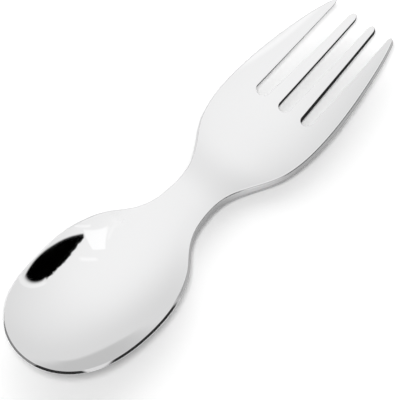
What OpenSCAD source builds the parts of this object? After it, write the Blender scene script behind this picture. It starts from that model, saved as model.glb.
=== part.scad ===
// Two-ended spork pressed from one piece of stainless sheet: a spoon bowl at one end,
// a four-tined fork at the other and a narrow dished neck between them.
// Sizes are in millimetres. X runs from the spoon's end to the tine tips, Y across, Z up.

/* [Overall] */
// Length over everything, from the spoon's end to the tips of the middle tines
overall_length = 105; // [88:0.5:113]

/* [Spoon bowl] */
// Width of the bowl at its widest
bowl_width = 28.3; // [26:0.1:38]
// Distance from the spoon's end to the widest place
bowl_widest_from_end = 21.9; // [17:0.1:30]
// How much fuller than an ellipse the bowl's end is (share)
bowl_fullness = 0.25; // [0:0.01:0.4]
// How much of that fullness is taken off again at the very end (share)
bowl_nose_trim = 0.085; // [0:0.005:0.2]
// Depth of the bowl below its rim at the widest place
bowl_depth = 4.95; // [3:0.05:8]
// Distance from the spoon's end to the lowest place of the bowl
bowl_lowest_from_end = 24.1; // [17:0.1:35]
// Radius of the bowl's keel at its lowest place
bowl_keel_radius = 48.5; // [30:1:120]
// Height of the spoon's end above the table
bowl_end_height = 7.8; // [5:0.1:12]
// Slope of the keel at the spoon's end (rise over run)
bowl_end_slope = 0.685; // [0.3:0.005:1]
// Radius of the keel at the spoon's end
bowl_end_radius = 14.1; // [8:0.1:60]

/* [Shoulder] */
// Width half-way down the shoulder between bowl and neck
shoulder_width = 20; // [17.2:0.1:22.6]
// Distance from the spoon's end to that place
shoulder_from_end = 36.9; // [33:0.1:44]
// Slope of the shoulder's side there (run in over length)
shoulder_slope = 0.706; // [0.4:0.002:0.96]
// Radius of the shoulder's side there
shoulder_radius = 10; // [6:0.1:40]

/* [Neck] */
// Width of the neck at its narrowest
neck_width = 9.6; // [6:0.1:12.4]
// Distance from mid-length to the narrowest place, towards the spoon
neck_offset = 1.7; // [0:0.1:6]
// Radius of the neck's sides at the narrowest place
neck_side_radius = 21.8; // [12:0.1:60]
// Height of the neck's top at mid-width
neck_height = 3.6; // [2:0.05:7]
// Distance from mid-length to the neck's highest place, towards the spoon
neck_crest_offset = 3.3; // [0:0.1:8]
// Radius of the neck's crest, seen from the side
neck_crest_radius = 106; // [40:1:300]
// Depth of the neck's trough below its edges
neck_dish = 0.54; // [0:0.02:1.6]

/* [Flare] */
// Width half-way up the flare between neck and fork
flare_width = 20.4; // [16:0.1:21.6]
// Distance from the tine tips to that place
flare_from_tips = 40; // [34:0.1:48]
// Slope of the flare's side there (run out over length)
flare_slope = 0.49; // [0.3:0.002:0.66]
// Radius of the flare's side there
flare_radius = 8.4; // [5:0.05:40]

/* [Fork palm] */
// Width of the fork at its widest
palm_width = 24.3; // [23:0.1:32]
// Distance from the tine tips to the widest place
palm_widest_from_tips = 28.9; // [24:0.1:36]
// Radius of the fork's sides at the widest place
palm_side_radius = 69; // [40:1:200]
// Distance from the tine tips to the lowest place of the fork
palm_lowest_from_tips = 39.6; // [32:0.1:48]
// Radius of the fork's keel at its lowest place
palm_keel_radius = 79; // [40:1:200]
// Distance from the tine tips to the place where the palm's dish is measured
palm_dish_from_tips = 30.6; // [22:0.1:40]
// Depth of the palm's dish below its sides there
palm_dish = 2.45; // [0.5:0.05:4]

/* [Tines] */
// Length of the slots between the tines
tine_length = 26.9; // [15:0.1:36]
// Width of an outer tine just before its tip is rounded
outer_tine_tip = 1.36; // [1:0.01:4]
// Distance from the tips of the middle tines to the place where that is measured
outer_tine_from_tips = 2.3; // [1.2:0.1:5]
// Slope of the outer tines' sides there (run in over length)
tine_side_slope = 0.31; // [0.1:0.005:0.4]
// Radius of the outer tines' sides there
tine_side_radius = 37; // [25:0.5:200]
// How much shorter the outer tines are
outer_tine_setback = 0.4; // [0.1:0.05:3]
// Height of the fork's middle at the tips
tip_height = 3.25; // [1.8:0.05:12]
// Slope of the fork's keel at the tips (rise over run)
tip_slope = 0.076; // [0:0.002:0.24]
// Depth of the dish over the tips
tip_dish = 1.5; // [0:0.05:4]
// Width of the middle slot at its root
mid_slot_root = 2.65; // [1.5:0.01:5]
// Width of the middle slot at the tips
mid_slot_tip = 3.41; // [1.5:0.01:5]
// Width of a middle tine at its root
mid_tine_root = 3.08; // [1.5:0.01:4]
// Width of a middle tine at its tip, before rounding
mid_tine_tip = 1.31; // [0.8:0.01:3]
// Width of a side slot at its root
side_slot_root = 2.73; // [1.5:0.01:3.8]
// Width of a side slot at the tips
side_slot_tip = 3.85; // [1.5:0.01:5]
// Length of the rounding on the middle tines' tips
mid_tip_rounding = 2; // [0.8:0.05:5]
// Length of the rounding on the outer tines' tips
outer_tip_rounding = 1.1; // [0.6:0.05:4]

/* [Sheet] */
// Thickness in the middle of the bowl
bowl_gauge = 0.95; // [0.6:0.01:2.5]
// Thickness at the bowl's rim
rim_gauge = 0.63; // [0.5:0.01:2]
// Thickness at the neck
neck_gauge = 1.86; // [0.8:0.01:3]
// Thickness of the palm and of the tines' roots
tine_gauge = 1.34; // [0.8:0.01:2.5]
// Thickness at the tine tips
tip_gauge = 1.04; // [0.6:0.01:2.5]
// Radius of the polished edges
edge_radius = 0.2; // [0.05:0.01:0.3]
// Depth worn flat where the bowl and the fork touch the table
rest_flat = 0.08; // [0:0.01:0.3]

/* [Shape steps] */
// Rows along the bowl's rounded end
nose_rows = 17; // [10:1:22]
// Rows from the bowl's widest place to the slots' roots
body_rows = 38; // [24:1:48]
// Rows around a slot's root
root_rows = 6; // [4:1:8]
// Rows along the straight of a tine
tine_rows = 15; // [8:1:20]
// Rows around a tine's tip
tip_rows = 5; // [4:1:7]
// Columns across each quarter of the width
strip_columns = 4; // [3:1:5]

/* [Hidden] */

// how far a cut edge, square to the sheet, leans out past the top face at each end
round_cut = 1 - sqrt(1 / 2);
function edge_round(g) = min(edge_radius, g / 2.2);
function lean(slope, g) =
    let (a = atan(slope), r = edge_round(g))
    max((g - r) * sin(a), (g - round_cut * r) * sin(a) - round_cut * r * cos(a));

// stations along X
end_x = -overall_length / 2 + lean(bowl_end_slope, rim_gauge);
tip_x = overall_length / 2 - lean(tip_slope, tip_gauge);
widest_x = end_x + bowl_widest_from_end;
root_x = tip_x - tine_length;
dish_x = tip_x - palm_dish_from_tips;
crest_x = -neck_crest_offset;
palm_x = tip_x - palm_lowest_from_tips;
span_x = tip_x - outer_tine_from_tips;
step = edge_radius / 40;

// part of the bowl's end, each side of the middle, that one row of facets goes round
cap_angle = 30;

// one smooth piece between two stations, each [place, value, slope, curvature]
function piece(x, a, b) =
    let (h = b[0] - a[0], t = (x - a[0]) / h,
         a1 = a[2] * h, a2 = a[3] * h * h / 2,
         d = b[1] - a[1] - a1 - a2,
         e = b[2] * h - a1 - 2 * a2,
         f = b[3] * h * h - 2 * a2)
    a[1] + t * (a1 + t * (a2 + t * (10 * d - 4 * e + f / 2
        + t * (-15 * d + 7 * e - f + t * (6 * d - 3 * e + f / 2)))));

// a smooth curve through a list of stations
function curve(x, st, i = 0) =
    (i >= len(st) - 2 || x < st[i + 1][0]) ? piece(x, st[i], st[i + 1]) : curve(x, st, i + 1);

// outline: half the width at x
side_stations = [
    [widest_x, bowl_width / 2, 0,
        -bowl_width / 2 / pow(bowl_widest_from_end, 2) * (1 - 2 * bowl_fullness)],
    [end_x + shoulder_from_end, shoulder_width / 2, -shoulder_slope, -1 / shoulder_radius],
    [-neck_offset, neck_width / 2, 0, 1 / neck_side_radius],
    [tip_x - flare_from_tips, flare_width / 2, flare_slope, -1 / flare_radius],
    [tip_x - palm_widest_from_tips, palm_width / 2, 0, -1 / palm_side_radius],
    [span_x, side_centre(span_x) + side_slot(span_x) / 2 + outer_tine_tip,
        -tine_side_slope, -1 / tine_side_radius]];

function nose(x) =
    let (t = min(1, (widest_x - x) / bowl_widest_from_end))
    bowl_width / 2 * sqrt(max(0, 1 - t * t))
        * (1 + bowl_fullness * t * t - bowl_nose_trim * pow(t, 4));

function half_width(x) = x < widest_x ? nose(x) : curve(x, side_stations);

// thickness at mid-width and at the edges
mid_gauges = [[end_x, rim_gauge, 0, 0], [widest_x, bowl_gauge, 0, 0], [crest_x, neck_gauge, 0, 0],
    [dish_x, tine_gauge, 0, 0], [tip_x, tip_gauge, 0, 0]];
edge_gauges = [[end_x, rim_gauge, 0, 0], [widest_x, rim_gauge, 0, 0], [crest_x, neck_gauge, 0, 0],
    [dish_x, tine_gauge, 0, 0], [tip_x, tip_gauge, 0, 0]];

function gauge(x, y) =
    let (m = curve(x, mid_gauges), e = curve(x, edge_gauges),
         w = max(step, half_width(x)), s = min(1, abs(y) / w))
    m + (e - m) * s * s;

// height of the top face along the middle
bowl_x = end_x + bowl_lowest_from_end;
keel_stations = [
    [end_x, bowl_end_height, -bowl_end_slope, 1 / bowl_end_radius],
    [bowl_x, gauge(bowl_x, 0) - rest_flat, 0, 1 / bowl_keel_radius],
    [crest_x, neck_height, 0, -1 / neck_crest_radius],
    [palm_x, gauge(palm_x, 0) - rest_flat, 0, 1 / palm_keel_radius],
    [tip_x, tip_height, tip_slope, 0]];

// how strongly the sheet is dished across the width
function dishing(depth, x) = depth / pow(half_width(x), 2);
dish_stations = [
    [widest_x, dishing(bowl_depth, widest_x), 0, 0],
    [-neck_offset, dishing(neck_dish, -neck_offset), 0, 0],
    [dish_x, dishing(palm_dish, dish_x), 0, 0],
    [tip_x, dishing(tip_dish, span_x), 0, 0]];

function dish(x) = curve(max(x, widest_x), dish_stations);
function crown(x, y) = curve(x, keel_stations) + dish(x) * y * y;

function unit(v) = v / norm(v);
function facing(x, y) = unit([
    (crown(x - step, y) - crown(x + step, y)) / (2 * step), -2 * dish(x) * y, 1]);
function table(p) = [p[0], p[1], max(0, p[2])];
function top_point(p) = table([p[0], p[1], crown(p[0], p[1])]);
function under_point(p) =
    table([p[0], p[1], crown(p[0], p[1])] - gauge(p[0], p[1]) * facing(p[0], p[1]));

// slots and tines
function along(x) = (x - root_x) / tine_length;
function blend(a, b, t) = a + (b - a) * t;
function mid_edge(x) = blend(mid_slot_root, mid_slot_tip, along(x)) / 2;
function mid_tine_edge(x) = mid_edge(x) + blend(mid_tine_root, mid_tine_tip, along(x));
function side_slot(x) = blend(side_slot_root, side_slot_tip, along(x));
function side_centre(x) = mid_tine_edge(x) + side_slot(x) / 2;
function root_round(x, r) = let (t = min(1, max(0, (x - root_x) / r))) sqrt(1 - pow(1 - t, 2));

// the two side lines of strip j at x, before its tip is rounded; strip 0 is the outer tine at +Y
function mid_line(x) = mid_edge(x) * root_round(x, mid_slot_root / 2);
function side_line(x, s) = side_centre(x) + s * side_slot(x) / 2 * root_round(x, mid_slot_root / 2);
function raw_lines(j, x) =
    j == 0 ? [half_width(x), side_line(x, 1)] :
    j == 1 ? [side_line(x, -1), mid_line(x)] :
    j == 2 ? [-mid_line(x), -side_line(x, -1)] : [-side_line(x, 1), -half_width(x)];
function is_outer(j) = j == 0 || j == 3;
function end_of(j) = is_outer(j) ? tip_x - outer_tine_setback : tip_x;
function rounding_of(j) = is_outer(j) ? outer_tip_rounding : mid_tip_rounding;
function lines(j, x) =
    let (l = raw_lines(j, x), c = (l[0] + l[1]) / 2, h = (l[0] - l[1]) / 2,
         t = min(1, max(0, (x - end_of(j)) / rounding_of(j) + 1)), k = sqrt(1 - t * t))
    [c + h * k, c - h * k];

// the outward direction of an edge, from its slope; s is 1 on the +Y side of the metal
function outward(slope, s) = unit([-slope * s, s]);
function line_outward(j, x, q) =
    x >= end_of(j) - step ? [1, 0] :
    let (a = lines(j, max(x - step, root_x)), b = lines(j, x + step))
    outward((b[q] - a[q]) / (x + step - max(x - step, root_x)), q == 0 ? 1 : -1);
function rim_outward(x, s) =
    outward(s * (half_width(x + step) - half_width(x - step)) / (2 * step), s);

// the bowl's end by angle: 0 at the very end, 90 at the widest place
function rim(a) =
    let (t = cos(a))
    [widest_x - bowl_widest_from_end * t,
        bowl_width / 2 * sin(a) * (1 + bowl_fullness * t * t - bowl_nose_trim * pow(t, 4))];
function rim_facing(a) = let (d = rim(a + 1) - rim(a - 1)) unit([-d[1], d[0]]);

// the four points that round the cut edge at p
function edge_points(p, o) =
    let (c = [p[0], p[1], crown(p[0], p[1])], n = facing(p[0], p[1]),
         v = unit([o[0], o[1], -(n[0] * o[0] + n[1] * o[1]) / n[2]]),
         t = gauge(p[0], p[1]), r = edge_round(t))
    [for (q = [[round_cut, round_cut * r], [0, r], [0, t - r], [round_cut, t - round_cut * r]])
        table(c - q[0] * r * v - q[1] * n)];
function inset(p, o) = p - edge_round(gauge(p[0], p[1])) * o;
function flipped(l) = [for (i = [len(l) - 1:-1:0]) l[i]];

// rows along the part
last_body = nose_rows + body_rows;
function body_x(i) = blend(widest_x, root_x, (i - nose_rows) / body_rows);
function nose_angle(i) = blend(cap_angle, 90, i / nose_rows);
arc = mid_slot_root / 2;
fork_rows = root_rows + tine_rows + tip_rows;
function fork_x(j, i) =
    let (a = root_x + arc, b = end_of(j) - rounding_of(j))
    i <= root_rows ? root_x + arc * (1 - cos(90 * i / root_rows)) :
    i <= root_rows + tine_rows ? blend(a, b, (i - root_rows) / tine_rows) :
    b + rounding_of(j) * sin(90 * (i - root_rows - tine_rows) / tip_rows);

// plan points across a full row, from the +Y edge to the -Y edge
nc = strip_columns;
split_share = side_centre(root_x) / half_width(root_x);
function across(b) = concat([for (j = [0:3], q = [0:nc - 1]) blend(b[j], b[j + 1], q / nc)], [b[4]]);
column_shares = across([1, split_share, 0, -split_share, -1]);
function cap_point(s) = inset(rim(cap_angle * s), rim_facing(cap_angle * s));
function nose_plan(i) =
    let (a = nose_angle(i), p = inset(rim(a), rim_facing(a)), e = cap_point(1), m = cap_point(0),
         bow = p[0] - blend(m[0], widest_x, i / nose_rows))
    [for (s = column_shares) let (c = cap_point(s))
        [p[0] - bow * (e[0] - c[0]) / (e[0] - m[0]), p[1] * c[1] / e[1]]];
function body_plan(i) =
    let (x = body_x(i), w = half_width(x), cut = i == last_body ? edge_radius : 0)
    across([inset([x, w], rim_outward(x, 1)), [x - cut, w * split_share], [x - cut, 0],
            [x - cut, -w * split_share], inset([x, -w], rim_outward(x, -1))]);
function strip_plan(j, x) =
    let (l = lines(j, x), c = (l[0] + l[1]) / 2, h = (l[0] - l[1]) / 5, k = x < end_of(j) ? 1 : 1 / 2,
         a = inset([x, l[0]], k * line_outward(j, x, 0)), b = inset([x, l[1]], k * line_outward(j, x, 1)))
    [for (q = [0:nc]) blend([a[0], max(a[1], c + h)], [b[0], min(b[1], c - h)], q / nc)];

// closed rings of points: top, -Y edge, underside, +Y edge
function side_edge(i, s) =
    i < nose_rows ? edge_points(rim(s * nose_angle(i)), rim_facing(s * nose_angle(i))) :
    let (x = body_x(i)) edge_points([x, s * half_width(x)], rim_outward(x, s));
function full_ring(i) =
    let (plan = i < nose_rows ? nose_plan(i) : body_plan(i))
    concat([for (p = plan) top_point(p)], side_edge(i, -1),
        flipped([for (p = plan) under_point(p)]), flipped(side_edge(i, 1)));
function strip_ring(j, i) =
    let (x = fork_x(j, i), l = lines(j, x), plan = strip_plan(j, x))
    concat([for (p = plan) top_point(p)],
        edge_points([x, l[1]], line_outward(j, x, 1)),
        flipped([for (p = plan) under_point(p)]),
        flipped(edge_points([x, l[0]], line_outward(j, x, 0))));

full_size = 8 * nc + 10;
strip_size = 2 * nc + 10;
cap_start = (last_body + 1) * full_size;
root_start = cap_start + 4 * (4 * nc - 1);
strip_start = root_start + 12;

// point numbers: rings of the body, the edge round the bowl's end (row q of column k, from the
// top face down), and rings of the tines, with the points that meet at a tip taken as one
function full_at(i, k) = i * full_size + k % full_size;
function cap_at(k, q) =
    q == 0 ? k :
    q == 5 ? 8 * nc + 5 - k :
    k == 0 ? 8 * nc + 10 - q :
    k == 4 * nc ? 4 * nc + q : cap_start + 4 * (k - 1) + q - 1;
function strip_at(j, i, k) =
    let (kk = k % strip_size, s = strip_start + (j * fork_rows + i - 1) * strip_size)
    i == 0 ? (
        kk <= nc ? full_at(last_body, j * nc + kk) :
        kk <= nc + 4 ? (j == 3 ? full_at(last_body, 4 * nc + kk - nc) : root_start + 4 * j + kk - nc - 1) :
        kk <= 2 * nc + 5 ? full_at(last_body, 8 * nc + 5 - (j * nc + 2 * nc + 5 - kk)) :
        (j == 0 ? full_at(last_body, 6 * nc + kk) : root_start + 4 * (j - 1) + 2 * nc + 9 - kk)) :
    s + (i < fork_rows ? kk :
        kk <= nc ? 0 :
        kk <= nc + 4 ? kk :
        kk <= 2 * nc + 5 ? nc + 5 : 3 * nc + 10 - kk);

function whole(f) = f[0] != f[1] && f[1] != f[2] && f[2] != f[0];
function quad(a, b, c, d) = [for (f = [[a, c, b], [a, d, c]]) if (whole(f)) f];

module spork() {
    slot_roots = [side_centre(root_x), 0, -side_centre(root_x)];
    points = concat(
        [for (i = [0:last_body], p = full_ring(i)) p],
        [for (k = [1:4 * nc - 1], p = edge_points(rim(cap_angle * column_shares[k]),
            rim_facing(cap_angle * column_shares[k]))) p],
        [for (y = slot_roots, p = edge_points([root_x, y], [1, 0])) p],
        [for (j = [0:3], i = [1:fork_rows], p = strip_ring(j, i)) p]);
    faces = concat(
        [for (k = [0:4 * nc - 1], q = [0:4],
            f = quad(cap_at(k, q), cap_at(k, q + 1), cap_at(k + 1, q + 1), cap_at(k + 1, q))) f],
        [for (i = [0:last_body - 1], k = [0:full_size - 1],
            f = quad(full_at(i, k), full_at(i, k + 1), full_at(i + 1, k + 1), full_at(i + 1, k))) f],
        [for (j = [0:3], i = [0:fork_rows - 1], k = [0:strip_size - 1],
            f = quad(strip_at(j, i, k), strip_at(j, i, k + 1),
                strip_at(j, i + 1, k + 1), strip_at(j, i + 1, k))) f]);
    color([0.80, 0.81, 0.82])
        polyhedron(points = points, faces = faces, convexity = 8);
}

spork();
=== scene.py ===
"""Spork pressed from one sheet of stainless steel, mirror polished, lying on a white table.

X runs from the spoon's end to the tine tips, Y across and Z up. Sizes are in millimetres, and turn
into metres when the mesh is made.
"""
import math

import bpy
import numpy as np
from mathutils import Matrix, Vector


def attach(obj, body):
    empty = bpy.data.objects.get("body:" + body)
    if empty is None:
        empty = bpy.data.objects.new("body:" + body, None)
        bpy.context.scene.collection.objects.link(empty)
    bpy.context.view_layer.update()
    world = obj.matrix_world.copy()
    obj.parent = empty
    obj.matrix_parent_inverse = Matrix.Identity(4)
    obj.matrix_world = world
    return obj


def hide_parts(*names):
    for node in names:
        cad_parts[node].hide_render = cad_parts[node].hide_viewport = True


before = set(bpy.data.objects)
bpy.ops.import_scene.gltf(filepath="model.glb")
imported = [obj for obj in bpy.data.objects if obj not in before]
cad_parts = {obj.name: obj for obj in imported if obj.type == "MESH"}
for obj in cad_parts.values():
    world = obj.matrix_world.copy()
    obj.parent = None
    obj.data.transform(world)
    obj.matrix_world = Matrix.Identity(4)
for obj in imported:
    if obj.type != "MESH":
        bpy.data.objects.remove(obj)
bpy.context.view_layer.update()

MM = 0.001

# Bowl
LENGTH = 105.0
BOWL_WIDTH, BOWL_WIDEST_FROM_END = 28.3, 21.9
BOWL_FULLNESS, BOWL_NOSE_TRIM = 0.25, 0.085
BOWL_DEPTH, BOWL_LOWEST_FROM_END, BOWL_KEEL_RADIUS = 4.95, 24.1, 48.5
BOWL_END_HEIGHT, BOWL_END_SLOPE, BOWL_END_RADIUS = 7.8, 0.685, 14.1
SHOULDER_WIDTH, SHOULDER_FROM_END, SHOULDER_SLOPE, SHOULDER_RADIUS = 20.0, 36.9, 0.706, 10.0

# Neck
NECK_WIDTH, NECK_OFFSET, NECK_SIDE_RADIUS = 9.6, 1.7, 21.8
NECK_HEIGHT, NECK_CREST_OFFSET, NECK_CREST_RADIUS, NECK_DISH = 3.6, 3.3, 106.0, 0.54

# Fork
FLARE_WIDTH, FLARE_FROM_TIPS, FLARE_SLOPE, FLARE_RADIUS = 20.4, 40.0, 0.49, 8.4
PALM_WIDTH, PALM_WIDEST_FROM_TIPS, PALM_SIDE_RADIUS = 24.3, 28.9, 69.0
PALM_LOWEST_FROM_TIPS, PALM_KEEL_RADIUS = 39.6, 79.0
PALM_DISH_FROM_TIPS, PALM_DISH = 30.6, 2.45
TINE_LENGTH, OUTER_TINE_TIP, OUTER_TINE_FROM_TIPS = 26.9, 1.36, 2.3
TINE_SIDE_SLOPE, TINE_SIDE_RADIUS, OUTER_TINE_SETBACK = 0.31, 37.0, 0.4
TIP_HEIGHT, TIP_SLOPE, TIP_DISH = 3.25, 0.076, 1.5
MID_SLOT_ROOT, MID_SLOT_TIP, MID_TINE_ROOT, MID_TINE_TIP = 2.65, 3.41, 3.08, 1.31
SIDE_SLOT_ROOT, SIDE_SLOT_TIP = 2.73, 3.85
MID_TIP_ROUNDING, OUTER_TIP_ROUNDING = 1.4, 1.1
TIP_SPREAD, TIP_SPREAD_REACH = 0.2, 14.0

# Sheet
BOWL_GAUGE, RIM_GAUGE, NECK_GAUGE, TINE_GAUGE, TIP_GAUGE = 0.95, 0.63, 1.86, 1.34, 1.04
EDGE_RADIUS, REST_FLAT = 0.2, 0.08

# Cut edge: how far its rounding reaches in, and the exponents of its squared section
RIM_SOFTNESS, OUTLINE_SOFTNESS, SLOT_SOFTNESS, TIP_SOFTNESS = 0.08, 0.28, 0.10, 0.10
CRISP_SQUARENESS, SOFT_SQUARENESS = 6.0, 3.0
EDGE_INSET, RIM_INSET = 0.01, 0.05

# The bowl's rim leans, and is thicker on its -Y side
RIM_LEAN, RIM_LEAN_ENDS, RIM_LEAN_FADE = 0.19, -14.0, 8.0
RIM_EXTRA_GAUGE = 0.12

# The bowl's top face turns down a little inside its -Y outline, and up at the +Y shoulder
RIM_ROLL, RIM_ROLL_REACH, RIM_ROLL_ENDS, RIM_ROLL_FADE = 0.09, 3.0, -4.0, 8.0
SIDE_FADE = 10.0
SHOULDER_TURN, SHOULDER_STARTS, SHOULDER_FADE = 0.4, -20.0, 4.0

# The satin mark on the outline's edge past the bowl, +Y and -Y sides: a rougher finish and painted shade
# that darkens it, most on -Y; and a stretch on -Y with less, painted lighter
SATIN_AND_SHADE_LEFT, SATIN_AND_SHADE_RIGHT, SATIN_AND_SHADE_STARTS, SATIN_AND_SHADE_FADE = 0.3, 1.0, -26.0, 6.0
PAINTED_LIGHT_STRETCH, PAINTED_LIGHT_STRETCH_REACH, PAINTED_LIGHT_STRETCH_SHARE = 8.0, 9.0, 0.45

# Satin and raw marks of each tine's +Y and -Y sides: a rougher finish and the punch's cut, with painted
# shade darkening them, the raw mark near black on the slots' -Y walls
TINE_EDGES = [
    [(SATIN_AND_SHADE_LEFT, 0.0), (0.2, 0.8)],
    [(1.0, 0.0), (0.5, 1.0)],
    [(1.0, 0.0), (0.5, 1.0)],
    [(1.0, 0.0), (SATIN_AND_SHADE_RIGHT, 0.0)],
]

# Mesh fineness
NOSE_ROWS, BODY_ROWS, ROOT_ROWS, TINE_ROWS, TIP_ROWS = 44, 110, 14, 56, 14
STRIP_COLUMNS, EDGE_STEPS = 12, 16
CAP_ANGLE = 30.0
STEP, WELD = 0.005, 1e-5

# How far the edge's normal has turned from the sheet's, of 1, where the cut's marks, its finish and painted
# shade, are full
FULLY_CUT = 0.6


def lean(slope, gauge_here):
    """How far a cut edge, square to the sheet, leans out past the top face."""
    a = math.atan(slope)
    cut = 1 - math.sqrt(0.5)
    return max((gauge_here - EDGE_RADIUS) * math.sin(a),
               (gauge_here - cut * EDGE_RADIUS) * math.sin(a) - cut * EDGE_RADIUS * math.cos(a))


END_X = -LENGTH / 2 + lean(BOWL_END_SLOPE, RIM_GAUGE)
TIP_X = LENGTH / 2 - lean(TIP_SLOPE, TIP_GAUGE)
WIDEST_X = END_X + BOWL_WIDEST_FROM_END
BOWL_X = END_X + BOWL_LOWEST_FROM_END
CREST_X = -NECK_CREST_OFFSET
PALM_X = TIP_X - PALM_LOWEST_FROM_TIPS
DISH_X = TIP_X - PALM_DISH_FROM_TIPS
ROOT_X = TIP_X - TINE_LENGTH
SPAN_X = TIP_X - OUTER_TINE_FROM_TIPS


def blend(a, b, t):
    return a + (b - a) * t


def smooth(t):
    t = np.clip(t, 0, 1)
    return t * t * (3 - 2 * t)


def rising(x, end, reach):
    """0 until a reach before the end, and 1 from the end on."""
    return smooth((x - end) / reach + 1)


def right_side(y):
    """1 on the -Y side and 0 on the +Y side, smooth between."""
    return smooth(0.5 - y / SIDE_FADE)


def unit(v):
    return v / np.linalg.norm(v, axis=-1, keepdims=True)


def curve(x, stations):
    """A smooth curve through stations, each (place, value, slope, curvature)."""
    x = np.asarray(x, float)
    out = np.full_like(x, stations[0][1])
    for (x0, y0, s0, c0), (x1, y1, s1, c1) in zip(stations, stations[1:]):
        h = x1 - x0
        t = (x - x0) / h
        rise, bend = s0 * h, c0 * h * h / 2
        d, e, f = y1 - y0 - rise - bend, s1 * h - rise - 2 * bend, c1 * h * h - 2 * bend
        piece = y0 + t * (rise + t * (bend + t * (10 * d - 4 * e + f / 2 + t * (
            -15 * d + 7 * e - f + t * (6 * d - 3 * e + f / 2)))))
        out = np.where((x >= x0) | (x0 == stations[0][0]), piece, out)
    return out


# Slots and tines: half widths measured from the middle line
def along(x):
    return (x - ROOT_X) / TINE_LENGTH


def mid_slot_edge(x):
    return blend(MID_SLOT_ROOT, MID_SLOT_TIP, along(x)) / 2


def side_slot(x):
    return blend(SIDE_SLOT_ROOT, SIDE_SLOT_TIP, along(x))


def side_centre(x):
    return mid_slot_edge(x) + blend(MID_TINE_ROOT, MID_TINE_TIP, along(x)) + side_slot(x) / 2


SIDES = [
    (WIDEST_X, BOWL_WIDTH / 2, 0, -BOWL_WIDTH / 2 / BOWL_WIDEST_FROM_END ** 2 * (1 - 2 * BOWL_FULLNESS)),
    (END_X + SHOULDER_FROM_END, SHOULDER_WIDTH / 2, -SHOULDER_SLOPE, -1 / SHOULDER_RADIUS),
    (-NECK_OFFSET, NECK_WIDTH / 2, 0, 1 / NECK_SIDE_RADIUS),
    (TIP_X - FLARE_FROM_TIPS, FLARE_WIDTH / 2, FLARE_SLOPE, -1 / FLARE_RADIUS),
    (TIP_X - PALM_WIDEST_FROM_TIPS, PALM_WIDTH / 2, 0, -1 / PALM_SIDE_RADIUS),
    (SPAN_X, side_centre(SPAN_X) + side_slot(SPAN_X) / 2 + OUTER_TINE_TIP,
     -TINE_SIDE_SLOPE, -1 / TINE_SIDE_RADIUS),
]


def fullness(t):
    """How much fuller than an ellipse the bowl's end is, from its widest place, 0, to its end, 1."""
    return 1 + BOWL_FULLNESS * t * t - BOWL_NOSE_TRIM * t ** 4


def half_width(x):
    x = np.asarray(x, float)
    t = np.clip((WIDEST_X - x) / BOWL_WIDEST_FROM_END, 0, 1)
    nose = BOWL_WIDTH / 2 * np.sqrt(1 - t * t) * fullness(t)
    return np.where(x < WIDEST_X, nose, curve(x, SIDES))


# Where the side slots' middle lines start, as a share of the half width
ROOT_SHARE = float(side_centre(ROOT_X) / half_width(ROOT_X))


GAUGES_PAST_BOWL = [(CREST_X, NECK_GAUGE, 0, 0), (DISH_X, TINE_GAUGE, 0, 0), (TIP_X, TIP_GAUGE, 0, 0)]
MID_GAUGES = [(END_X, RIM_GAUGE, 0, 0), (WIDEST_X, BOWL_GAUGE, 0, 0)] + GAUGES_PAST_BOWL
EDGE_GAUGES = [(END_X, RIM_GAUGE, 0, 0), (WIDEST_X, RIM_GAUGE, 0, 0)] + GAUGES_PAST_BOWL


def rim_lean(x):
    """The bowl's rim leans: its lower edge stands out past its upper edge."""
    return RIM_LEAN * (1 - rising(x, RIM_LEAN_ENDS, RIM_LEAN_FADE))


def rim_extra(x, y):
    """How much thicker the bowl's rim is on its -Y side."""
    return RIM_EXTRA_GAUGE * right_side(y) * rim_lean(x) / RIM_LEAN


def gauge(x, y):
    """Thickness of the sheet, which thins towards the bowl's rim."""
    share = np.minimum(1, np.abs(y) / np.maximum(STEP, half_width(x)))
    return blend(curve(x, MID_GAUGES), curve(x, EDGE_GAUGES) + rim_extra(x, y), share * share)


KEEL = [
    (END_X, BOWL_END_HEIGHT, -BOWL_END_SLOPE, 1 / BOWL_END_RADIUS),
    (BOWL_X, float(gauge(BOWL_X, 0)) - REST_FLAT, 0, 1 / BOWL_KEEL_RADIUS),
    (CREST_X, NECK_HEIGHT, 0, -1 / NECK_CREST_RADIUS),
    (PALM_X, float(gauge(PALM_X, 0)) - REST_FLAT, 0, 1 / PALM_KEEL_RADIUS),
    (TIP_X, TIP_HEIGHT, TIP_SLOPE, 0),
]


def dishing(depth, x):
    return depth / float(half_width(x)) ** 2


DISHES = [
    (WIDEST_X, dishing(BOWL_DEPTH, WIDEST_X), 0, 0),
    (-NECK_OFFSET, dishing(NECK_DISH, -NECK_OFFSET), 0, 0),
    (DISH_X, dishing(PALM_DISH, DISH_X), 0, 0),
    (TIP_X, dishing(TIP_DISH, SPAN_X), 0, 0),
]


def dish(x):
    return curve(np.maximum(x, WIDEST_X), DISHES)


def rim_distance(x, y):
    """How far in a place of the bowl or shoulder is from the outline, about."""
    t = np.maximum((WIDEST_X - x) / BOWL_WIDEST_FROM_END, 0)
    half = BOWL_WIDTH / 2 * fullness(t)
    share = np.where(x < WIDEST_X, np.hypot(t, y / half), np.abs(y) / half_width(x))
    reach = np.hypot(np.minimum(x - WIDEST_X, 0), y) / np.maximum(share, 0.5)
    return (1 - share) * np.where(share > 0.5, reach, BOWL_WIDTH / 2)


def rim_roll(x, y):
    """How far the top face turns down near the outline of the bowl and shoulder."""
    near = np.maximum(RIM_ROLL_REACH - rim_distance(x, y), 0)
    right = right_side(y)
    left = SHOULDER_TURN * smooth((x - SHOULDER_STARTS) / SHOULDER_FADE)
    strength = (right - (1 - right) * left) * (1 - rising(x, RIM_ROLL_ENDS, RIM_ROLL_FADE))
    return RIM_ROLL * strength * near * near / (2 * RIM_ROLL_REACH)


def crown(x, y):
    """Height of the top face."""
    return curve(x, KEEL) + dish(x) * y * y - rim_roll(x, y)


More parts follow.
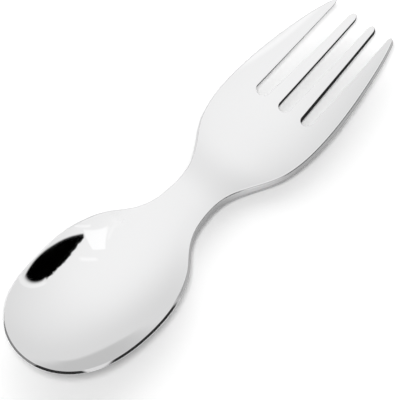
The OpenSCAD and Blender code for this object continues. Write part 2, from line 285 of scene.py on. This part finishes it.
def facing(x, y):
    """The direction square to the top face."""
    slope = (crown(x + STEP, y) - crown(x - STEP, y)) / (2 * STEP)
    cross_slope = (crown(x, y + STEP) - crown(x, y - STEP)) / (2 * STEP)
    return unit(np.stack([-slope, -cross_slope, np.ones_like(slope)], -1))


def top_face(x, y):
    """Points on the top face, with their normals."""
    return np.stack([x, y, crown(x, y)], -1), facing(x, y)


def under_at(x, y):
    """Points on the underside, before the worn flats."""
    return np.stack([x, y, crown(x, y)], -1) - gauge(x, y)[..., None] * facing(x, y)


def on_table(points, normals):
    """The underside is worn flat where it would reach below the table."""
    flat = (points[..., 2] < 0)[..., None]
    return np.where(flat, points * [1, 1, 0], points), np.where(flat, [0.0, 0.0, -1.0], normals)


def under_face(x, y):
    """Points on the underside, with their normals."""
    crosswise = under_at(x, y + STEP) - under_at(x, y - STEP)
    lengthwise = under_at(x + STEP, y) - under_at(x - STEP, y)
    return on_table(under_at(x, y), unit(np.cross(crosswise, lengthwise)))


def left_of(d):
    """The plan direction square to d, on its left."""
    return unit(np.stack([-d[..., 1], d[..., 0]], -1))


class Stretch:
    """Outline stretch: plan points, outward directions, softness, and satin and raw marks with painted
    shade.
    """
    NAMES = ("points", "out", "softness", "satin", "raw")

    def __init__(self, points, out, softness, satin=0.0, raw=0.0):
        self.points, self.out = points, out
        self.softness = np.broadcast_to(softness, len(points))
        self.satin = np.broadcast_to(satin, len(points))
        self.raw = np.broadcast_to(raw, len(points))

    def reach(self):
        """How far in from the outline the edge's section meets the top face, along the sheet."""
        x, y = self.points.T
        return self.softness + rim_lean(x) * gauge(x, y)

    def bound(self):
        """The plan points where the edge's section meets the top face, alike on both sides."""
        turned = [1, 0] + [0, 1] * np.where(self.points[:, 1:] < 0, -1, 1)
        alike = Stretch(self.points * turned, self.out * turned, self.softness)
        flat = np.linalg.norm(alike.square()[1][:, :2], axis=-1)
        return self.points - (alike.reach() * flat)[:, None] * self.out

    def square(self):
        """Points on the top face, with the directions out of the edge and square to the sheet."""
        points, n = top_face(self.points[:, 0], self.points[:, 1])
        tilt = -(n[:, :2] * self.out).sum(-1) / n[:, 2]
        return points, unit(np.concatenate([self.out, tilt[:, None]], -1)), n

    def part(self, some):
        return Stretch(*[getattr(self, name)[some] for name in self.NAMES])

    def backwards(self):
        return self.part(slice(None, None, -1))

    def mirrored(self, satin):
        """The same stretch on the other side, run backwards."""
        turned = [1, -1]
        return Stretch(self.points * turned, self.out * turned, self.softness, satin).backwards()


def joined(stretches):
    return Stretch(*[np.concatenate([getattr(s, name) for s in stretches]) for name in Stretch.NAMES])


def nose_rim(angle):
    """The outline of the bowl's end: angle 0 at the very end, 90 at the widest place."""
    def place(a):
        t = np.cos(np.radians(a))
        half = BOWL_WIDTH / 2 * np.sin(np.radians(a)) * fullness(t)
        return np.stack([WIDEST_X - BOWL_WIDEST_FROM_END * t, half], -1)

    return Stretch(place(angle), left_of(place(angle + 1) - place(angle - 1)), RIM_SOFTNESS)


def body_side():
    """The outline from the bowl's widest place to the slots' roots, on the +Y side."""
    x = np.linspace(WIDEST_X, ROOT_X, BODY_ROWS + 1)
    slope = (half_width(x + STEP) - half_width(x - STEP)) / (2 * STEP)
    out = unit(np.stack([-slope, np.ones_like(x)], -1))
    softness = blend(RIM_SOFTNESS, OUTLINE_SOFTNESS, smooth((x - SATIN_AND_SHADE_STARTS) / SATIN_AND_SHADE_FADE))
    return Stretch(np.stack([x, half_width(x)], -1), out, softness)


def tine_end(j):
    """Where tine j ends, and how long the rounding of its tip is."""
    if j in (0, 3):
        return TIP_X - OUTER_TINE_SETBACK, OUTER_TIP_ROUNDING
    return TIP_X, MID_TIP_ROUNDING


def tine_lines(j, x):
    """The two side lines of tine j, from +Y to -Y, with the slots' roots and the tip rounded."""
    end, rounding = tine_end(j)
    root = np.sqrt(1 - np.clip(1 - (x - ROOT_X) / (MID_SLOT_ROOT / 2), 0, 1) ** 2)
    middle = mid_slot_edge(x) * root
    inner = side_centre(x) - side_slot(x) / 2 * root
    outer = side_centre(x) + side_slot(x) / 2 * root
    rim = half_width(x)
    high, low = [(rim, outer), (inner, middle), (-middle, -inner), (-outer, -rim)][j]
    if j:
        high = high + TIP_SPREAD * rising(x, end, TIP_SPREAD_REACH)
    tip = np.sqrt(1 - np.clip((x - end) / rounding + 1, 0, 1) ** 2)
    centre, half = (high + low) / 2, (high - low) / 2 * tip
    return centre + half, centre - half


def tine_sides(j):
    """The two sides of tine j as stretches that run from the slots' roots to the tip."""
    end, rounding = tine_end(j)
    quarter, arc = math.pi / 2, MID_SLOT_ROOT / 2
    x = np.concatenate([
        ROOT_X + arc * (1 - np.cos(np.linspace(0, quarter, ROOT_ROWS, endpoint=False))),
        np.linspace(ROOT_X + arc, end - rounding, TINE_ROWS, endpoint=False),
        end - rounding * (1 - np.sin(np.linspace(0, quarter, TIP_ROWS + 1)))])
    h = np.clip(np.minimum(end - x, x - ROOT_X) / 20, STEP / 100, STEP)
    lines, before, after = tine_lines(j, x), tine_lines(j, x - h), tine_lines(j, x + h)
    sides = []
    for q in (0, 1):
        outer = (j, q) in ((0, 0), (3, 1))
        out = left_of(np.stack([2 * h, after[q] - before[q]], -1) * (1 - 2 * q))
        out[-1] = [1, 0]
        if not outer:
            out[0] = [1, 0]
        softness = OUTLINE_SOFTNESS if outer else SLOT_SOFTNESS
        softness = blend(softness, TIP_SOFTNESS, rising(x, end, rounding))
        # This side's satin and raw marks, which carry painted shade as well as a finish
        satin, raw = TINE_EDGES[j][q]
        sides.append(Stretch(np.stack([x, lines[q]], -1), out, softness, satin, raw))
    return sides


class Shell:
    """Grids of points with their normals, welded into one closed mesh."""

    def __init__(self):
        self.points, self.normals, self.marks, self.faces = [], [], [], []
        self.count = 0

    def grid(self, points, normals, marks, flip=False, close=False):
        rows, columns = points.shape[:2]
        at = self.count + np.arange(rows * columns).reshape(rows, columns)
        if close:
            at = np.concatenate([at, at[:1]])
        a, b, c, d = at[:-1, :-1], at[:-1, 1:], at[1:, 1:], at[1:, :-1]
        self.faces.append(np.stack([a, d, c, b] if flip else [a, b, c, d], -1).reshape(-1, 4))
        self.points.append(points.reshape(-1, 3))
        self.normals.append(normals.reshape(-1, 3))
        self.marks.append(np.broadcast_to(marks, (rows, columns, 2)).reshape(-1, 2))
        self.count += rows * columns

    def mesh(self, name):
        points = np.concatenate(self.points)
        keys = np.round(points / WELD).astype(np.int64)
        _, first, same = np.unique(keys, axis=0, return_index=True, return_inverse=True)
        same = same.reshape(-1)
        normals = np.zeros((len(first), 3))
        np.add.at(normals, same, np.concatenate(self.normals))
        faces = []
        for face in same[np.concatenate(self.faces)]:
            ring = [int(v) for k, v in enumerate(face) if v != face[k - 1]]
            if len(set(ring)) > 2:
                faces.append(ring)
        mesh = bpy.data.meshes.new(name)
        mesh.from_pydata((points[first] * MM).tolist(), [], faces)
        mesh.polygons.foreach_set("use_smooth", [True] * len(mesh.polygons))
        marks = np.concatenate(self.marks)[first].astype(np.float32)
        for k, mark in enumerate(("satin_edge", "raw_edge")):
            mesh.attributes.new(mark, "FLOAT", "POINT").data.foreach_set("value", marks[:, k].copy())
        mesh.update()
        mesh.normals_split_custom_set_from_vertices(unit(normals).tolist())
        return mesh


def across(marks):
    """Spread columns between five marks across the width."""
    shares = np.arange(STRIP_COLUMNS) / STRIP_COLUMNS
    parts = [blend(a, b, share) for a, b in zip(marks, marks[1:]) for share in shares]
    return np.stack(parts + [marks[4]])


def sheet_rows(cap, nose, body):
    """Plan rows of the top face, from the bowl's end to the slots' roots."""
    rows = []
    cap_bound, nose_bound, body_bound = cap.bound(), nose.bound(), body.bound()
    middle = len(cap_bound) // 2
    for i, (x, y) in enumerate(nose_bound):
        bow = x - blend(cap_bound[middle, 0], WIDEST_X, i / NOSE_ROWS)
        fade = (cap_bound[0, 0] - cap_bound[:, 0]) / (cap_bound[0, 0] - cap_bound[middle, 0])
        rows.append(np.stack([x - bow * fade, y * cap_bound[:, 1] / cap_bound[0, 1]], -1))
    for (x, w), bound in zip(body.points, body_bound):
        back = SLOT_SOFTNESS * rising(x, ROOT_X, SLOT_SOFTNESS)
        inner = [[x - back, w * share] for share in (ROOT_SHARE, 0.0, -ROOT_SHARE)]
        rows.append(across(np.array([bound, *inner, bound * [1, -1]])))
    return np.stack(rows)


def cut_edge(shell, outline):
    """The closed band round the whole outline, with a squared section that leans at the bowl."""
    corner, v, n = outline.square()
    x, y = outline.points[:, :1], outline.points[:, 1:]
    t, tilt, softness = gauge(x, y), rim_lean(x), outline.softness[:, None]
    inset = blend(EDGE_INSET, RIM_INSET, tilt / RIM_LEAN)

    # The section, from the top face round to the underside
    a = np.radians(np.linspace(90, -90, EDGE_STEPS + 1))[None, :]
    side, rise = np.maximum(np.cos(a), 0), np.sin(a)
    soft = smooth((softness - SLOT_SOFTNESS) / (OUTLINE_SOFTNESS - SLOT_SOFTNESS))
    power = 2 / blend(CRISP_SQUARENESS, SOFT_SQUARENESS, soft)
    bulge, lift = side ** power, np.sign(rise) * np.abs(rise) ** power
    reach = np.where(rise >= 0, softness, softness + tilt * t)
    out = reach * (bulge - 1) - tilt * t / 2 * (lift + 1) - inset
    out = out - rim_extra(x, y) / 2
    down = t / 2 * (1 - lift)
    turn_out = side ** (2 - power) / reach
    turn_up = np.sign(rise) * np.abs(rise) ** (2 - power) / (t / 2) + tilt * turn_out

    points = corner[:, None] + out[..., None] * v[:, None] - down[..., None] * n[:, None]
    normals = unit(turn_out[..., None] * v[:, None] + turn_up[..., None] * n[:, None])
    points, normals = on_table(points, normals)
    bound_x, bound_y = outline.bound().T
    points[:, 0], normals[:, 0] = top_face(bound_x, bound_y)
    points[:, -1], normals[:, -1] = under_face(bound_x, bound_y)
    # The satin and raw marks, full where the section turns to the cut, carry painted shade as well as a
    # finish
    upright = np.abs(turn_up) / np.hypot(turn_up, turn_out)
    cut = smooth((1 - upright) / FULLY_CUT)
    marks = np.stack([cut * outline.satin[:, None], cut * outline.raw[:, None]], -1)
    shell.grid(points, normals, marks, flip=True, close=True)


def spork_shell():
    """The whole spork: the body's two faces, each tine's two faces, and the cut edge round them."""
    shell = Shell()
    cap = nose_rim(CAP_ANGLE * across(np.array([1, ROOT_SHARE, 0, -ROOT_SHARE, -1])))
    nose = nose_rim(blend(CAP_ANGLE, 90.0, np.arange(NOSE_ROWS) / NOSE_ROWS))
    body = body_side()
    rows = sheet_rows(cap, nose, body)
    root = rows[-1]

    def two_faces(plan):
        x, y = plan[..., 0], plan[..., 1]
        shell.grid(*top_face(x, y), 0.0)
        shell.grid(*under_face(x, y), 0.0, flip=True)

    for k in (STRIP_COLUMNS, 2 * STRIP_COLUMNS, 3 * STRIP_COLUMNS):
        slot_root = Stretch(np.array([[ROOT_X, root[k, 1]]]), np.array([[1.0, 0.0]]), SLOT_SOFTNESS)
        root[k] = slot_root.bound()[0]
    two_faces(rows)

    side = joined([nose.part(slice(1, None)), body.part(slice(0, -1))])
    outline = [side]
    for j in range(4):
        left, right = tine_sides(j)
        a, b = left.bound(), right.bound()
        strip = np.stack([blend(a, b, k / STRIP_COLUMNS) for k in range(STRIP_COLUMNS + 1)], 1)
        strip[0] = root[j * STRIP_COLUMNS:(j + 1) * STRIP_COLUMNS + 1]
        two_faces(strip)
        outline += [left.part(slice(0, -1)), right.part(slice(None, 0 if j < 3 else None, -1))]
    # The satin mark past the bowl: painted shade, more on the -Y side and less along a stretch painted
    # lighter
    x = side.points[:, 0]
    past_bowl = smooth((x - SATIN_AND_SHADE_STARTS) / SATIN_AND_SHADE_FADE)
    painted_light = PAINTED_LIGHT_STRETCH_SHARE * smooth(1 - np.abs(x - PAINTED_LIGHT_STRETCH) / PAINTED_LIGHT_STRETCH_REACH)
    side.satin = SATIN_AND_SHADE_LEFT * past_bowl
    outline += [side.mirrored(SATIN_AND_SHADE_RIGHT * past_bowl * (1 - painted_light)), cap.backwards()]
    cut_edge(shell, joined(outline))
    return shell


# Shader wiring
class Wire:
    """A node's output that takes part in sums, each of which adds a Math node."""

    def __init__(self, tree, socket):
        self.tree, self.socket = tree, socket

    def sum(self, operation, *values):
        return add_node(self.tree, "ShaderNodeMath", {"operation": operation}, dict(enumerate(values)))

    def __add__(self, other):
        return self.sum("ADD", self, other)

    def __radd__(self, other):
        return self.sum("ADD", other, self)

    def __sub__(self, other):
        return self.sum("SUBTRACT", self, other)

    def __rsub__(self, other):
        return self.sum("SUBTRACT", other, self)

    def __mul__(self, other):
        return self.sum("MULTIPLY", self, other)

    def __rmul__(self, other):
        return self.sum("MULTIPLY", other, self)

    def __truediv__(self, other):
        return self.sum("DIVIDE", self, other)

    def __pow__(self, other):
        return self.sum("POWER", self, other)

    def either(self, other):
        return self.sum("MAXIMUM", self, other)

    def at_most(self, other):
        return self.sum("MINIMUM", self, other)

    def dot(self, vector):
        return add_node(self.tree, "ShaderNodeVectorMath", {"operation": "DOT_PRODUCT"},
                        {0: self, 1: vector}, "Value")

    def stretched(self, vector):
        return add_node(self.tree, "ShaderNodeVectorMath", {"operation": "MULTIPLY"},
                        {0: self, 1: vector})

    def ramp(self, low, high):
        """0 at low and 1 at high, smooth between; low may be above high."""
        return add_node(self.tree, "ShaderNodeMapRange", {"interpolation_type": "SMOOTHSTEP"},
                        {"Value": self, "From Min": low, "From Max": high})


def add_node(tree, kind, settings=None, sockets=None, out=0):
    node = tree.nodes.new(kind)
    for name, value in (settings or {}).items():
        setattr(node, name, value)
    for name, value in (sockets or {}).items():
        if isinstance(value, Wire):
            tree.links.new(value.socket, node.inputs[name])
        else:
            node.inputs[name].default_value = value
    return Wire(tree, node.outputs[out])


def blank_tree(owner):
    owner.use_nodes = True
    owner.node_tree.nodes.clear()
    return owner.node_tree


def finish_tree(tree, kind, shader):
    tree.links.new(shader.socket, tree.nodes.new(kind).inputs["Surface"])


def light_path(tree, name):
    return add_node(tree, "ShaderNodeLightPath", out=name)


# Steel: its tone, the painted shade that the satin and raw marks take from it, and how much less light it
# throws on the table
STEEL_TONE, BLUE_CAST, HAZE_TONE = 0.885, 1.004, 0.02
SATIN_PAINTED_SHADE, RAW_PAINTED_SHADE, TABLE_GLINT_LOSS = 0.5, 0.93, 0.55

# Steel: its roughness, what each finish adds to it, and the relief of the buffing and the scratches
MIRROR_ROUGHNESS, HAZE_ROUGHNESS, BUFFING_ROUGHNESS, SCRATCH_ROUGHNESS = 0.03, 0.02, 0.015, 0.03
SATIN_ROUGHNESS, RAW_ROUGHNESS, SHOULDER_ROUGHNESS = 0.06, 0.8, 0.22
BUFFING_RELIEF, SCRATCH_RELIEF, RELIEF_DEPTH = 0.02, 0.03, 2e-6

# Where the rougher place at the +Y shoulder fades in and out, in metres
SHOULDER_HAZE_START, SHOULDER_HAZE_END = (-0.0175, -0.0150), (-0.006, -0.009)
SHOULDER_HAZE_SIDE = (0.0045, 0.0062)


def polished_stainless():
    """Mirror-polished steel, rougher on its outer edges and punch-cut slot walls, with painted shade on
    them.
    """
    material = bpy.data.materials.new("polished_stainless")
    tree = blank_tree(material)
    place = add_node(tree, "ShaderNodeTexCoord", out="Object")
    x, y = place.dot((1.0, 0.0, 0.0)), place.dot((0.0, 1.0, 0.0))
    satin = add_node(tree, "ShaderNodeAttribute", {"attribute_name": "satin_edge"}, out="Fac")
    raw = add_node(tree, "ShaderNodeAttribute", {"attribute_name": "raw_edge"}, out="Fac")

    def noise(scale, detail, stretch=(1.0, 1.0, 1.0)):
        return add_node(tree, "ShaderNodeTexNoise", {"noise_dimensions": "3D"},
                        {"Vector": place.stretched(stretch), "Scale": scale, "Detail": detail})

    wave = noise(150.0, 1.0)
    haze = noise(60.0, 3.0)
    buffing = noise(900.0, 3.0, (0.06, 1.0, 1.0))
    scratch = noise(2600.0, 1.0, (0.02, 1.0, 0.4)).ramp(0.70, 0.78)

    # Painted shade: the satin and raw marks darken the tone, the raw one almost to black
    tone = (STEEL_TONE + (haze - 0.5) * HAZE_TONE) * (1 - satin * SATIN_PAINTED_SHADE)
    tone = tone * (1 - raw * RAW_PAINTED_SHADE)
    tone = tone * (1 - light_path(tree, "Is Diffuse Ray") * TABLE_GLINT_LOSS)
    grey = add_node(tree, "ShaderNodeCombineColor", None,
                    {"Red": tone, "Green": tone, "Blue": tone * BLUE_CAST}, "Color")

    gloss = MIRROR_ROUGHNESS + haze.ramp(0.45, 0.75) * HAZE_ROUGHNESS
    gloss = gloss + buffing.ramp(0.55, 0.8) * BUFFING_ROUGHNESS + scratch * SCRATCH_ROUGHNESS
    gloss = gloss + satin * SATIN_ROUGHNESS + raw * RAW_ROUGHNESS
    shoulder = x.ramp(*SHOULDER_HAZE_START) * x.ramp(*SHOULDER_HAZE_END) * y.ramp(*SHOULDER_HAZE_SIDE)
    gloss = gloss + shoulder * SHOULDER_ROUGHNESS

    height = wave + buffing * BUFFING_RELIEF - scratch * SCRATCH_RELIEF
    relief = add_node(tree, "ShaderNodeBump", None,
                      {"Strength": 1.0, "Distance": RELIEF_DEPTH, "Height": height}, "Normal")
    steel = add_node(tree, "ShaderNodeBsdfPrincipled", None,
                     {"Base Color": grey, "Metallic": 1.0, "Roughness": gloss, "Normal": relief}, "BSDF")
    finish_tree(tree, "ShaderNodeOutputMaterial", steel)
    return material


TABLE_SIZE, TABLE_COLOUR = 6.0, (0.95, 0.95, 0.95, 1.0)
TABLE_LIFT, LIFT_SHARE_IN_STEEL = 0.20, 0.2


def table_white():
    """White card, lifted a little to the camera and less in the steel, so that only its shadow shows."""
    material = bpy.data.materials.new("white_table")
    tree = blank_tree(material)
    matt = add_node(tree, "ShaderNodeBsdfDiffuse", None, {"Color": TABLE_COLOUR}, "BSDF")
    shown = light_path(tree, "Is Camera Ray") + light_path(tree, "Is Glossy Ray") * LIFT_SHARE_IN_STEEL
    glow = add_node(tree, "ShaderNodeEmission", None, {"Strength": shown * TABLE_LIFT}, "Emission")
    both = add_node(tree, "ShaderNodeAddShader", None, {0: matt, 1: glow}, "Shader")
    finish_tree(tree, "ShaderNodeOutputMaterial", both)
    return material


# The piece
spork = bpy.data.objects.new("spork_body", spork_shell().mesh("spork_body"))
bpy.context.scene.collection.objects.link(spork)
spork.data.materials.append(polished_stainless())
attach(spork, "root")
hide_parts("spork")

# Table
bpy.ops.mesh.primitive_plane_add(size=TABLE_SIZE, location=(0, 0, 0))
table = bpy.context.object
table.name = "table"
table.data.materials.append(table_white())

# The tent as the steel sees it, low and overhead, and how much lighter or darker things in it are
TENT_LOW, TENT_HIGH, WINDOW_LIGHT, SLIVER_LIGHT, DOORWAY_LIGHT = 0.96, 1.25, 0.17, 0.12, 0.5
STRIP_SHARE, BAR_SHARE = 0.3, 0.7
ROOM_DARKNESS, BACKDROP_DARKNESS = 0.96, 0.24

# The white behind everything, and the light on the table: plain, and stronger from the back
WHITE, PLAIN_LIGHT = 1.25, 0.265
BACK_LIGHT, BACK_AZIMUTH, BACK_DIP = 4.7, 42.0, -20.0

# Middle of the dark opening, and the direction of its flat coordinate u
OPENING_WAY, OPENING_SIDE = (0.4654, -0.5491, 0.6942), (0.7629, 0.6466, 0.0)

# The room beyond the camera: azimuth, spread and softness in degrees, fade with height, and darkness
LOW, HIGH = (0.40, 0.34), (0.60, 0.50)
ROOM = [
    (-74.0, 24.0, 3.0, LOW, 1.0),
    (-80.0, 18.0, 6.0, HIGH, 1.0),
    (-153.0, 37.0, 3.0, HIGH, 1.0),
    (152.0, 52.0, 18.0, LOW, 0.7),
]
DOORWAY = (-107.0, 7.0, 4.0)
BACKDROP, BACKDROP_FADE = (45.0, 14.0, 12.0), (0.17, 0.10)


def way_to(azimuth, elevation=0.0):
    """The direction at an azimuth and an elevation in degrees."""
    turned, raised = math.radians(azimuth), math.radians(elevation)
    return (math.cos(raised) * math.cos(turned), math.cos(raised) * math.sin(turned), math.sin(raised))


def turned_to(way, azimuth, spread, soft):
    """1 where a direction lies within the spread of an azimuth, 0 well outside it."""
    outside, inside = math.radians(spread + soft), math.radians(spread - soft)
    return way.dot(way_to(azimuth)).ramp(math.cos(outside), math.cos(inside))


def opening_shapes(u, v, rough):
    """The dark opening, a leaf between two round rims, and a light sliver round its near end."""
    def from_centre(cu, cv):
        du, dv = u - cu, v - cv
        return (du * du + dv * dv) ** 0.5

    upper_rim = from_centre(0.224, 0.244).ramp(0.475, 0.459)
    lower_rim = (from_centre(-0.69, -0.972) + rough * 0.05).ramp(1.312, 1.295)
    lengthwise = u * 0.81 - v * 0.59
    round_end = from_centre(0.115, -0.115)
    near_end = round_end.ramp(0.14, 0.10).either(lengthwise.ramp(0.18, 0.15))
    far_end = (v - u).ramp(0.47, 0.45)
    sliver = round_end.ramp(0.135, 0.15) * round_end.ramp(0.185, 0.17) * lengthwise.ramp(0.17, 0.21)
    return upper_rim * lower_rim * near_end * far_end, sliver


def window_shape(u, v):
    """A leaning window, with a fainter strip beside it and a bar on each side of it."""
    s = 4.66 * (v - 0.234) - 4.71 * (u + 0.261)
    t = 6.49 * (u + 0.261) - 1.02 * (v - 0.234)
    leaning = s + t * 0.2
    pane = math.prod([
        (s - t * 0.25).ramp(-0.17, -0.07), leaning.ramp(1.12, 1.02), (s - t * 0.6).ramp(1.10, 1.00),
        (t + s * 0.08).ramp(-0.09, 0.0), t.ramp(0.95, 0.86)])
    strip = math.prod([
        leaning.ramp(1.12, 1.18), leaning.ramp(1.34, 1.28), t.ramp(-0.10, 0.0), t.ramp(0.5, 0.3)])
    slanting = t + s * 0.18
    first_bar = math.prod([
        slanting.ramp(-0.25, -0.20), slanting.ramp(-0.11, -0.15), s.ramp(-0.6, -0.5), s.ramp(0.3, 0.2)])
    second_bar = math.prod([
        s.ramp(-1.01, -0.75), s.ramp(0.25, -0.01), t.ramp(1.33, 1.59), t.ramp(1.81, 1.55)])
    return pane + strip * STRIP_SHARE + (first_bar + second_bar) * BAR_SHARE


def studio():
    """A white tent, brighter overhead, with a dark opening, a window and a dark room low on one side."""
    world = bpy.data.worlds.new("studio")
    bpy.context.scene.world = world
    tree = blank_tree(world)
    way = add_node(tree, "ShaderNodeTexCoord", out="Generated")
    height = way.dot((0.0, 0.0, 1.0))

    # Flat coordinates round the middle of the opening
    ahead, side = Vector(OPENING_WAY).normalized(), Vector(OPENING_SIDE).normalized()
    depth = way.dot(ahead)
    u, v = way.dot(side) / depth, way.dot(ahead.cross(side)) / depth
    in_front = depth.ramp(0.0, 0.1)
    rough = add_node(tree, "ShaderNodeTexNoise", None, {"Vector": way, "Scale": 28.0, "Detail": 1.0}) - 0.5
    opening, sliver = opening_shapes(u, v, rough)
    extra = (window_shape(u, v) * WINDOW_LIGHT + sliver * SLIVER_LIGHT) * in_front

    # The dark room, with a bright doorway in it, and a grey backdrop on the other side
    room = 0.0
    for azimuth, spread, soft, fade, darkness in ROOM:
        room = (height.ramp(*fade) * turned_to(way, azimuth, spread, soft) * darkness).either(room)
    doorway = height.ramp(*LOW) * turned_to(way, *DOORWAY)
    backdrop = height.ramp(*BACKDROP_FADE) * turned_to(way, *BACKDROP)

    tent = TENT_LOW + (TENT_HIGH - TENT_LOW) * height.ramp(0.2, 1.05)
    tent = tent + extra + doorway * DOORWAY_LIGHT
    tent = tent * (1 - opening * in_front) * (1 - room * ROOM_DARKNESS) * (1 - backdrop * BACKDROP_DARKNESS)

    # The camera sees white, only the steel sees the tent, and the table gets the plain light
    seen, mirrored = light_path(tree, "Is Camera Ray"), light_path(tree, "Is Glossy Ray")
    from_table = light_path(tree, "Diffuse Depth").at_most(1.0)
    plain = PLAIN_LIGHT + BACK_LIGHT * way.dot(way_to(BACK_AZIMUTH, BACK_DIP)).ramp(0.0, 1.0)
    level = seen * WHITE + mirrored * (1 - from_table) * tent + (1 - seen.either(mirrored)) * plain
    finish_tree(tree, "ShaderNodeOutputWorld",
                add_node(tree, "ShaderNodeBackground", None, {"Strength": level}, "Background"))


studio()

# Key lamp beyond the camera; the polished steel sees the tent there, not the lamp
KEY_AZIMUTH, KEY_ELEVATION, KEY_DISTANCE, KEY_SIZE, KEY_POWER = 207.0, 67.0, 1.6, 0.45, 10.8
lamp = bpy.data.lights.new("key_softbox", "AREA")
lamp.shape, lamp.size, lamp.energy = "DISK", KEY_SIZE, KEY_POWER
lamp_object = bpy.data.objects.new("key_softbox", lamp)
bpy.context.scene.collection.objects.link(lamp_object)
lamp_way = Vector(way_to(KEY_AZIMUTH, KEY_ELEVATION))
lamp_object.location = lamp_way * KEY_DISTANCE
lamp_object.rotation_euler = lamp_way.to_track_quat("Z", "Y").to_euler()
lamp_object.visible_glossy = False

# Camera, for a square picture 400 pixels wide; its focal length was fitted in pixels
PICTURE_WIDTH, FOCAL_PIXELS, SENSOR = 400.0, 4493.78, 36.0
CAMERA_AZIMUTH, CAMERA_ELEVATION, CAMERA_DISTANCE = -140.076, 59.593, 0.895
CAMERA_TARGET = Vector((-0.000011, -0.000159, 0.0))
camera_data = bpy.data.cameras.new("camera")
camera_data.sensor_fit = "HORIZONTAL"
camera_data.sensor_width = SENSOR
camera_data.lens = FOCAL_PIXELS * SENSOR / PICTURE_WIDTH
camera_data.clip_start, camera_data.clip_end = 0.01, 20.0
camera = bpy.data.objects.new("camera", camera_data)
bpy.context.scene.collection.objects.link(camera)
back = Vector(way_to(CAMERA_AZIMUTH, CAMERA_ELEVATION))
camera.location = CAMERA_TARGET + CAMERA_DISTANCE * back
camera.rotation_euler = back.to_track_quat("Z", "Y").to_euler()
bpy.context.scene.camera = camera
bpy.context.scene.view_settings.view_transform = "Standard"
